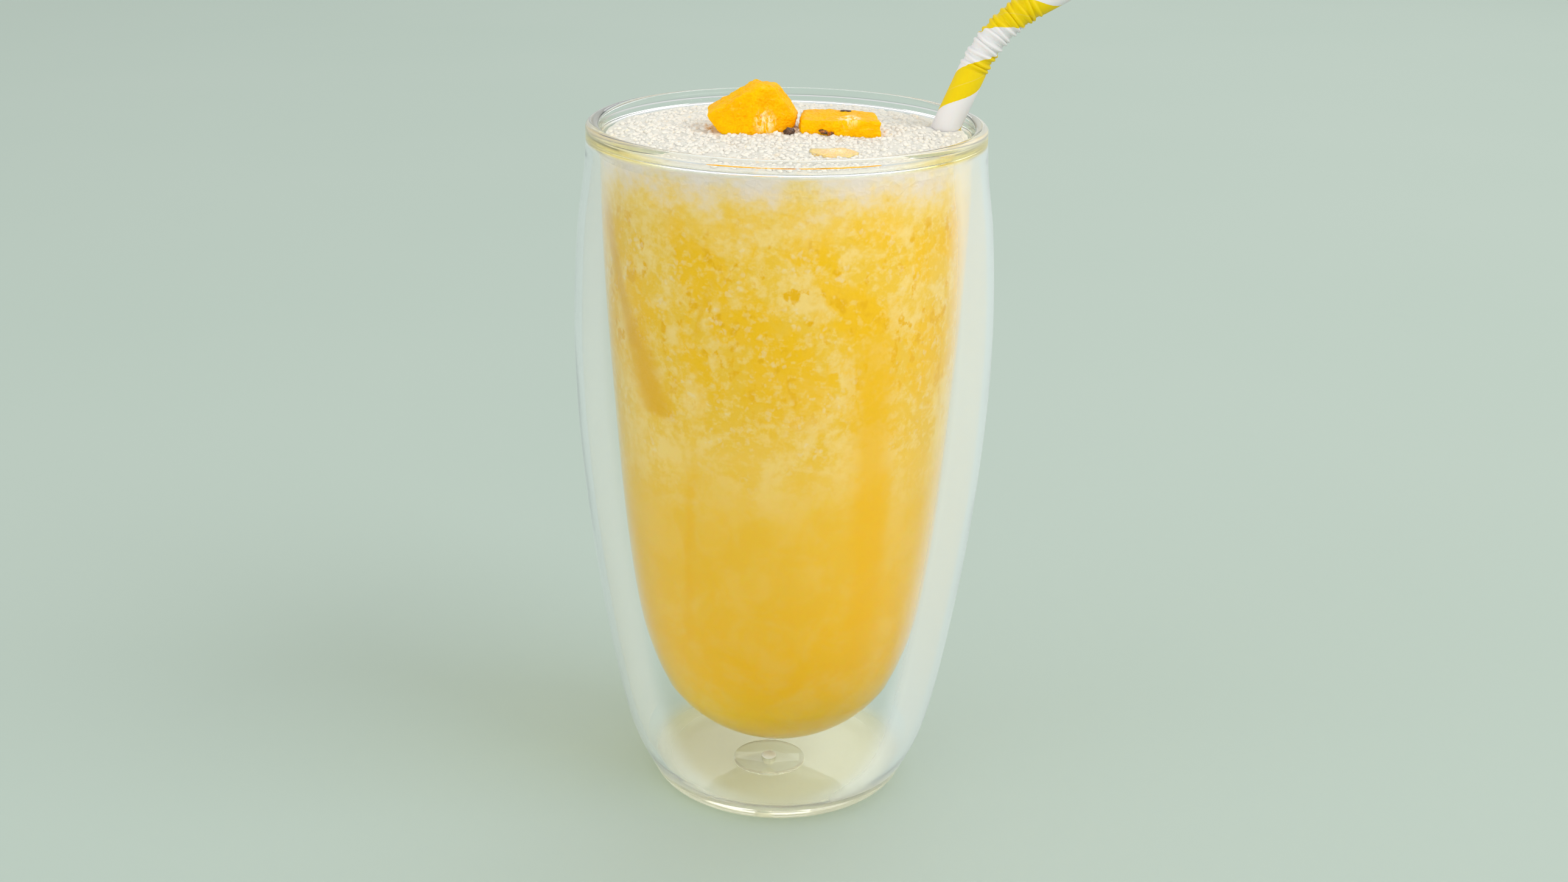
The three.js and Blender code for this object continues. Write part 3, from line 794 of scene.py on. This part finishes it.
def grain_tree(material):
    """Geometry Nodes that strew small faceted grains over a surface."""
    tree = bpy.data.node_groups.new("strew_grains", "GeometryNodeTree")
    tree.interface.new_socket("Geometry", in_out="INPUT", socket_type="NodeSocketGeometry")
    for name, kind, value in (
        ("Density", "NodeSocketFloat", 1.0),
        ("Grain", "NodeSocketFloat", 0.0005),
        ("Sides", "NodeSocketInt", 7),
        ("Rings", "NodeSocketInt", 5),
        ("Seed", "NodeSocketInt", 1),
    ):
        socket = tree.interface.new_socket(name, in_out="INPUT", socket_type=kind)
        socket.default_value = value
    tree.interface.new_socket("Geometry", in_out="OUTPUT", socket_type="NodeSocketGeometry")
    add = tree.nodes.new
    link = tree.links.new
    given, result = add("NodeGroupInput"), add("NodeGroupOutput")
    points = add("GeometryNodeDistributePointsOnFaces")
    link(given.outputs["Geometry"], points.inputs["Mesh"])
    link(given.outputs["Density"], points.inputs["Density"])
    link(given.outputs["Seed"], points.inputs["Seed"])
    ball = add("GeometryNodeMeshUVSphere")
    link(given.outputs["Grain"], ball.inputs["Radius"])
    link(given.outputs["Sides"], ball.inputs["Segments"])
    link(given.outputs["Rings"], ball.inputs["Rings"])
    turn = add("FunctionNodeRandomValue")
    turn.data_type = "FLOAT_VECTOR"
    turn.inputs["Max"].default_value = (math.tau, math.tau, math.tau)
    link(given.outputs["Seed"], turn.inputs["Seed"])
    grow = add("FunctionNodeRandomValue")
    grow.data_type = "FLOAT_VECTOR"
    grow.inputs["Min"].default_value = (0.8, 0.8, 0.7)
    grow.inputs["Max"].default_value = (1.15, 1.15, 1.05)
    link(given.outputs["Seed"], grow.inputs["Seed"])
    placed = add("GeometryNodeInstanceOnPoints")
    link(points.outputs["Points"], placed.inputs["Points"])
    link(ball.outputs["Mesh"], placed.inputs["Instance"])
    link(turn.outputs["Value"], placed.inputs["Rotation"])
    link(grow.outputs["Value"], placed.inputs["Scale"])
    real = add("GeometryNodeRealizeInstances")
    link(placed.outputs["Instances"], real.inputs["Geometry"])
    finish = add("GeometryNodeSetMaterial")
    finish.inputs["Material"].default_value = material
    link(real.outputs["Geometry"], finish.inputs["Geometry"])
    link(finish.outputs["Geometry"], result.inputs["Geometry"])
    return tree


def set_inputs(modifier, values):
    for item in modifier.node_group.interface.items_tree:
        if item.item_type == "SOCKET" and item.in_out == "INPUT" and item.name in values:
            modifier[item.identifier] = values[item.name]


def free_of_garnish(x, y):
    """True where grains may lie: off the straw's foot and off what the fruit covers."""
    g = settings(bpy.context.scene.cooler_garnish)
    if math.hypot(x - g.foot[0], y - g.foot[1]) < g.straw_radius + 0.9:
        return False
    for fruit in FRUITS:
        centre = fruit["centre"]
        if abs(x - centre[0]) < fruit["cover"][0] and abs(y - centre[1]) < fruit["cover"][1]:
            return False
    return True


def grain_bed(glass, look):
    """The foam's upper surface again, less what the fruit and the straw cover, to strew grains on."""
    wall = bowl_inside(glass)[-1][0] - 0.55
    bm = bmesh.new()
    step = 0.75
    cells = int(wall / step) + 1
    grid = {}
    for i in range(-cells, cells + 1):
        for j in range(-cells, cells + 1):
            x, y = i * step, j * step
            if math.hypot(x, y) <= wall and free_of_garnish(x, y):
                grid[i, j] = bm.verts.new((x * MM, y * MM, foam_height(look, x, y, wall) * MM - 0.0003))
    for i, j in list(grid):
        square = [grid.get(key) for key in ((i, j), (i + 1, j), (i + 1, j + 1), (i, j + 1))]
        if all(square):
            bm.faces.new(square)
    return finished_mesh("grain_bed", bm)


def build_grains():
    glass = settings(bpy.context.scene.cooler_glass)
    look = settings(bpy.context.scene.cooler_drink)
    material = crystal_material(look)
    tree = grain_tree(material)
    bed = grain_bed(glass, look)
    area = sum(face.area for face in bed.polygons)
    sorts = (
        ("fine", look.fine_grains, {"Grain": 0.00052, "Seed": 11}),
        ("coarse", look.coarse_grains, {"Grain": 0.00072, "Seed": 5}),
    )
    for name, wanted, values in sorts:
        thing = new_object(f"ice_grains_{name}", bed.copy())
        strew = thing.modifiers.new("strew", "NODES")
        strew.node_group = tree
        set_inputs(strew, {"Density": wanted / area, **values})
        settle(thing)
        roughen_grains(thing.data, 0.00009 if name == "fine" else 0.00016)
        dress(thing, material, "ice_foam")
    bpy.data.meshes.remove(bed)


def roughen_grains(mesh, amount):
    """Knocks the corners of the grains about, so that no two are alike."""
    for vertex in mesh.vertices:
        vertex.co += noise.noise_vector(vertex.co * 1900.0) * amount
    mesh.shade_smooth()


# Rounded pieces of fruit, as the part's source has them: each facet's direction and its distance
# from the centre in millimetres, and how far the piece covers the foam
FRUITS = (
    {
        "name": "mango_chunk_tall",
        "centre": (-7.3, 1.2, 151.9),
        "cover": (7.6, 4.6),
        "pale": (-4.2, -4.3, 150.4),
        "seed": 3,
        "facets": (
            ((-0.53, -0.1, 0.85), 4.3),
            ((0.1, 0, 1), 5.6),
            ((0.83, -0.1, 0.56), 6.9),
            ((0.77, 0, -0.64), 8.6),
            ((0, 0, -1), 5.4),
            ((-0.78, 0, -0.62), 7.9),
            ((-0.35, -0.9, 0.25), 5.2),
            ((0.45, -0.85, 0.1), 5.4),
            ((0, 0.95, 0.3), 4.8),
        ),
    },
    {
        "name": "mango_chunk_flat",
        "centre": (10.8, 0.2, 149.0),
        "cover": (7.4, 4.4),
        "pale": (12.8, -2.8, 151.2),
        "seed": 8,
        "facets": (
            ((-1, 0, 0.1), 7.9),
            ((1, 0.1, 0.1), 7.9),
            ((0.62, 0.7, 0.35), 7.2),
            ((0, -1, 0.12), 5.2),
            ((0, 1, 0.1), 5.0),
            ((0, -0.06, 1), 2.2),
            ((0, 0, -1), 2.5),
        ),
    },
)
FACET_EDGE = 20


def facet_reach(facets, way):
    total = sum(max(0.0, normal.dot(way) / distance) ** FACET_EDGE for normal, distance in facets)
    return total ** (-1 / FACET_EDGE)


def fruit_mesh(fruit):
    facets = [(Vector(faces).normalized(), distance) for faces, distance in fruit["facets"]]
    bm = bmesh.new()
    bmesh.ops.create_icosphere(bm, subdivisions=6, radius=1.0)
    shift = Vector((fruit["seed"] * 11.3, 0.0, 0.0))
    centre = Vector(fruit["centre"])
    for vertex in bm.verts:
        way = vertex.co.normalized()
        point = way * facet_reach(facets, way)
        swell = noise.noise(point * 0.22 + shift) * 0.35
        rough = noise.noise(point * 0.75 + shift) * 0.28
        crumb = noise.noise(point * 2.1 + shift) * 0.20
        pit = -0.35 * max(0.0, noise.noise(point * 0.9 - shift) - 0.25)
        vertex.co = (point + way * (swell + rough + crumb + pit) + centre) * MM
    return finished_mesh(fruit["name"] + "_flesh", bm)


def seed_mesh(name, centre, sizes, turn, shift):
    """A crushed seed: a squashed ball with a dented, pitted coat."""
    bm = bmesh.new()
    bmesh.ops.create_icosphere(bm, subdivisions=4, radius=1.0)
    for vertex in bm.verts:
        way = vertex.co.copy()
        dent = 1 + 0.28 * noise.noise(way * 1.6 + Vector((shift, 0, 0))) + 0.10 * noise.noise(way * 4.5)
        vertex.co = Vector((way.x * sizes[0], way.y * sizes[1], way.z * sizes[2])) * dent
    mesh = finished_mesh(name, bm)
    place = Matrix.Translation(Vector(centre)) @ Matrix.Rotation(turn, 4, "Y")
    mesh.transform(Matrix.Scale(MM, 4) @ place)
    return mesh


def build_fruit():
    look = settings(bpy.context.scene.cooler_garnish)
    for fruit in FRUITS:
        chunk = new_object(fruit["name"] + "_flesh", fruit_mesh(fruit))
        dress(chunk, mango_material(look, fruit["pale"]), "mango", fruit["name"])
    black = seed_material(look, (0.16, 0.08, 0.05))
    red = seed_material(look, (0.55, 0.16, 0.01))
    seeds = (
        ("seed_dark", (0.4, -4.5, 148.5), (1.25, 0.75, 0.8), -0.35, 1.0, black),
        ("seed_crushed", (7.6, -5.3, 148.7), (1.0, 0.35, 0.45), 0.3, 5.0, red),
        ("seed_torn", (8.9, -5.2, 148.3), (0.7, 0.35, 0.4), -0.5, 6.0, red),
        ("seed_speck", (12.2, 3.5, 151.5), (1.2, 0.5, 0.22), 0.0, 9.0, black),
    )
    for name, centre, sizes, turn, shift, material in seeds:
        seed = new_object(name, seed_mesh(name, centre, sizes, turn, shift))
        dress(seed, material, "mango")
    sunk = new_object("mango_sunk", seed_mesh("mango_sunk", (9.3, -21.6, 147.5), (5.4, 4.0, 0.8), 0.0, 3.0))
    dress(sunk, mango_material(look, (9.3, -21.6, 148.0), 0.5), "mango")


def straw_place(g, distance):
    """The straw's middle line in its own frame: straight up, round the neck, then straight on."""
    bend = math.radians(g.bend)
    turned = min(max((distance - g.clear) / g.neck, 0.0), 1.0) * bend
    radius = g.neck / bend
    past = max(distance - g.clear - g.neck, 0.0)
    across = radius * (1 - math.cos(turned)) + past * math.sin(turned)
    up = min(distance, g.clear) + radius * math.sin(turned) + past * math.cos(turned)
    return across, up, turned


def crimp(g, distance, angle):
    """How far the paper stands out from the straw's round, in millimetres: uneven slanted folds."""
    start, end = g.clear, g.clear + g.neck
    if not start < distance < end:
        return 0.0
    pitch = g.neck / g.ridges
    fold = int((distance - start) / pitch)
    drift = 0.22 * pitch * math.sin(angle + fold * 2.4)
    phase = (distance - start + drift) / pitch
    wave = math.cos(2 * math.pi * phase)
    sharp = math.copysign(abs(wave) ** 0.7, wave)
    uneven = 1 + 0.35 * noise.noise(Vector((math.cos(angle) * 1.2, math.sin(angle) * 1.2, fold * 1.7)))
    ends = min((distance - start) / 0.8, (end - distance) / 0.8, 1.0)
    return -0.04 - 0.25 * sharp * uneven * ends


def straw_mesh(g):
    """An open paper tube: rings up the outside and down the bore, with the paper's own coordinates."""
    sides = 64
    distances = [-g.sunk + (g.sunk + g.clear) * i / 24 for i in range(24)]
    neck_steps = g.ridges * 12
    distances += [g.clear + g.neck * i / neck_steps for i in range(neck_steps + 1)]
    distances += [g.clear + g.neck + g.tip * i / 10 for i in range(1, 11)]
    rings = [(d, 0.0) for d in distances] + [(d, g.straw_wall) for d in reversed(distances)]
    bm = bmesh.new()
    uv = bm.loops.layers.uv.new("wound")
    grid = []
    for distance, inset in rings:
        across, up, turned = straw_place(g, distance)
        row = []
        for i in range(sides):
            angle = 2 * math.pi * i / sides
            radius = g.straw_radius + crimp(g, distance, angle) - inset
            side = radius * math.cos(angle)
            row.append(bm.verts.new((
                (across + side * math.cos(turned)) * MM,
                radius * math.sin(angle) * MM,
                (up - side * math.sin(turned)) * MM,
            )))
        grid.append(row)
    lead = 2 * g.band
    for k, row in enumerate(grid):
        after = (k + 1) % len(grid)
        for i in range(sides):
            j = (i + 1) % sides
            face = bm.faces.new((row[i], row[j], grid[after][j], grid[after][i]))
            turns = (i / sides, (i + 1) / sides, (i + 1) / sides, i / sides)
            along = (rings[k][0], rings[k][0], rings[after][0], rings[after][0])
            for loop, turn, distance in zip(face.loops, turns, along):
                wound = (distance - g.band_start) / lead - turn + 0.75
                loop[uv].uv = (wound, turn)
    bmesh.ops.recalc_face_normals(bm, faces=bm.faces[:])
    mesh = finished_mesh("straw_wound", bm)
    mesh.set_sharp_from_angle(angle=math.radians(60))
    mesh.transform(Matrix.Translation(g.foot * MM) @ Matrix.Rotation(math.radians(g.lean), 4, "Y"))
    return mesh


def build_straw():
    g = settings(bpy.context.scene.cooler_garnish)
    straw = new_object("straw_wound", straw_mesh(g))
    dress(straw, straw_material(g), "straw_paper", "straw")


# Stage


def floor_material():
    n = Nodes("pale_floor")
    soft = n.noise(0.004, 2.0)
    shade = n.mix(soft, (0.43, 0.515, 0.455), (0.455, 0.53, 0.475))
    n.surface(Base_Color=shade, Roughness=0.7, Specular_IOR_Level=0.2)
    return n.material


PHOTO_WIDTH = 2576
FOCAL_PIXELS = 3253.0
CAMERA_PLACE = (0.0, -407.5, 226.4)
CAMERA_PITCH = 19.82
CAMERA_ROLL = 0.93
CAMERA_YAW = 0.063


def add_camera():
    pitch, roll, yaw = (math.radians(a) for a in (CAMERA_PITCH, CAMERA_ROLL, CAMERA_YAW))
    ahead = Vector((math.sin(yaw) * math.cos(pitch), math.cos(yaw) * math.cos(pitch), -math.sin(pitch)))
    right = Vector((math.cos(yaw), -math.sin(yaw), 0.0))
    up = right.cross(ahead)
    across = right * math.cos(roll) + up * math.sin(roll)
    upright = up * math.cos(roll) - right * math.sin(roll)
    data = bpy.data.cameras.new("camera")
    data.sensor_width = 36.0
    data.lens = FOCAL_PIXELS * data.sensor_width / PHOTO_WIDTH
    data.clip_start = 0.01
    data.clip_end = 50.0
    camera = bpy.data.objects.new("camera", data)
    turned = Matrix((across, upright, -ahead)).transposed().to_4x4()
    camera.matrix_world = Matrix.Translation(Vector(CAMERA_PLACE) * MM) @ turned
    bpy.context.scene.collection.objects.link(camera)
    bpy.context.scene.camera = camera


def add_light(name, place, aim, width, height, power, tint=(1.0, 1.0, 1.0), mirrored=True):
    data = bpy.data.lights.new(name, "AREA")
    data.shape = "RECTANGLE"
    data.size, data.size_y = width, height
    data.energy = power
    data.color = tint
    lamp = bpy.data.objects.new(name, data)
    lamp.visible_glossy = mirrored
    lamp.visible_transmission = mirrored
    towards = Vector(aim) - Vector(place)
    lamp.matrix_world = Matrix.Translation(place) @ towards.to_track_quat("-Z", "Y").to_matrix().to_4x4()
    bpy.context.scene.collection.objects.link(lamp)


# A hair of air under the glass, as a real base leaves
FLOOR_DROP = 0.0001
FLOOR_HALF = 14.0


def build_stage():
    bm = bmesh.new()
    bmesh.ops.create_grid(bm, x_segments=4, y_segments=4, size=FLOOR_HALF)
    bmesh.ops.translate(bm, verts=bm.verts, vec=(0.0, 0.0, -FLOOR_DROP))
    floor = new_object("pale_floor", finished_mesh("pale_floor", bm))
    floor.data.materials.append(floor_material())
    world = bpy.data.worlds.new("studio")
    world.use_nodes = True
    world.node_tree.nodes["Background"].inputs["Color"].default_value = (0.95, 0.98, 0.965, 1.0)
    world.node_tree.nodes["Background"].inputs["Strength"].default_value = 0.75
    scene = bpy.context.scene
    scene.world = world
    middle = (0.0, 0.0, 0.08)
    add_light("key", (1.5, -0.7, 1.5), middle, 1.3, 1.3, 22.0, (1.0, 0.985, 0.96))
    add_light("front", (-0.3, -1.8, 0.22), middle, 2.0, 0.36, 10.5, mirrored=False)
    add_light("fill", (-1.8, -0.9, 0.5), middle, 1.6, 0.8, 14.0, (0.97, 1.0, 0.99), mirrored=False)
    add_light("back", (0.5, 1.7, 1.3), middle, 2.0, 1.0, 8.0)
    scene.view_settings.view_transform = "Standard"
    scene.cycles.max_bounces = 24
    scene.cycles.transmission_bounces = 24
    scene.cycles.transparent_max_bounces = 24
    scene.cycles.use_denoising = True
    add_camera()


# Operators and panel


class PieceOperator:
    bl_options = {"REGISTER", "UNDO"}
    build = None

    def execute(self, context):
        type(self).build()
        return {"FINISHED"}


class COOLER_OT_stage(PieceOperator, bpy.types.Operator):
    """Add the pale floor, the soft lights and the camera"""

    bl_idname = "cooler.stage"
    bl_label = "Stage"
    build = staticmethod(build_stage)


class COOLER_OT_glass(PieceOperator, bpy.types.Operator):
    """Add the double-walled glass"""

    bl_idname = "cooler.glass"
    bl_label = "Double-walled glass"
    build = staticmethod(build_glass)


class COOLER_OT_plug(PieceOperator, bpy.types.Operator):
    """Add the plug in the base's vent"""

    bl_idname = "cooler.plug"
    bl_label = "Vent plug"
    build = staticmethod(build_plug)


class COOLER_OT_slush(PieceOperator, bpy.types.Operator):
    """Add the iced drink up to its foam"""

    bl_idname = "cooler.slush"
    bl_label = "Slush"
    build = staticmethod(build_slush)


class COOLER_OT_foam(PieceOperator, bpy.types.Operator):
    """Add the body of the ice foam"""

    bl_idname = "cooler.foam"
    bl_label = "Ice foam"
    build = staticmethod(build_foam)


class COOLER_OT_grains(PieceOperator, bpy.types.Operator):
    """Strew ice grains over the foam"""

    bl_idname = "cooler.grains"
    bl_label = "Ice grains"
    build = staticmethod(build_grains)


class COOLER_OT_fruit(PieceOperator, bpy.types.Operator):
    """Add the mango pieces and the seeds"""

    bl_idname = "cooler.fruit"
    bl_label = "Mango and seeds"
    build = staticmethod(build_fruit)


class COOLER_OT_straw(PieceOperator, bpy.types.Operator):
    """Add the striped paper straw"""

    bl_idname = "cooler.straw"
    bl_label = "Straw"
    build = staticmethod(build_straw)


PIECES = (
    COOLER_OT_stage,
    COOLER_OT_glass,
    COOLER_OT_plug,
    COOLER_OT_slush,
    COOLER_OT_foam,
    COOLER_OT_grains,
    COOLER_OT_fruit,
    COOLER_OT_straw,
)


class COOLER_PT_pieces(bpy.types.Panel):
    """The pieces of the cooler, each with its button"""

    bl_label = "Mango passion fruit cooler"
    bl_idname = "COOLER_PT_pieces"
    bl_space_type = "VIEW_3D"
    bl_region_type = "UI"
    bl_category = "Cooler"

    def draw(self, context):
        for operator in PIECES:
            self.layout.operator(operator.bl_idname)
        for group in (context.scene.cooler_glass, context.scene.cooler_drink, context.scene.cooler_garnish):
            box = self.layout.box()
            for name in group.__annotations__:
                box.prop(group, name)


CLASSES = (GlassSettings, DrinkSettings, GarnishSettings, *PIECES, COOLER_PT_pieces)


def register():
    for cls in CLASSES:
        bpy.utils.register_class(cls)
    bpy.types.Scene.cooler_glass = PointerProperty(type=GlassSettings)
    bpy.types.Scene.cooler_drink = PointerProperty(type=DrinkSettings)
    bpy.types.Scene.cooler_garnish = PointerProperty(type=GarnishSettings)


def unregister():
    del bpy.types.Scene.cooler_garnish
    del bpy.types.Scene.cooler_drink
    del bpy.types.Scene.cooler_glass
    for cls in reversed(CLASSES):
        bpy.utils.unregister_class(cls)


def main():
    register()
    bpy.ops.cooler.stage()
    bpy.ops.cooler.glass()
    bpy.ops.cooler.plug()
    bpy.ops.cooler.slush()
    bpy.ops.cooler.foam()
    bpy.ops.cooler.grains()
    bpy.ops.cooler.fruit()
    bpy.ops.cooler.straw()


if __name__ == "__main__":
    main()
